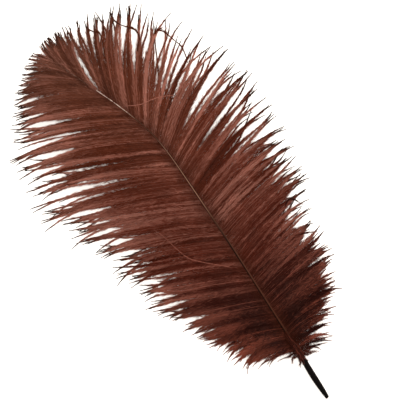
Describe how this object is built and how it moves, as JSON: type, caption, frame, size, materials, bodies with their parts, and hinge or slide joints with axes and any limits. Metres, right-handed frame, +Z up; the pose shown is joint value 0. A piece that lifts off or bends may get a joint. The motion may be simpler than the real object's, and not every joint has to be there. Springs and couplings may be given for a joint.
{
  "type": "ostrich feather",
  "caption": "Loose ostrich plume lying flat: bare dark quill, slim bowed shaft, soft vanes of long reddish-brown barbs on each side, darker down above the quill and a tip that curls down.",
  "frame": {"origin": "on the surface that the plume lies on, under the middle of its bounding box", "axes": "+Y along the plume from the quill's cut end to the tip, +X towards the right vane as seen from above with the tip away from the viewer, +Z up, away from the surface"},
  "size_m": [0.192, 0.3434, 0.0242],
  "materials": {
    "quill_keratin": "natural keratin of a quill, dyed nearly black, smooth with a soft gloss, turning brown and finely ridged along the shaft",
    "dyed_barbs": "loose soft barbs with long free barbules, dyed reddish brown, silky, with darker tips",
    "dyed_down": "short fluffy down barbs, dyed dark maroon brown, matt"
  },
  "bodies": {
    "root": {"shaft": "quill_keratin", "left_vane": "dyed_barbs", "right_vane": "dyed_barbs", "left_down": "dyed_down", "right_down": "dyed_down"}
  },
  "joints": []
}
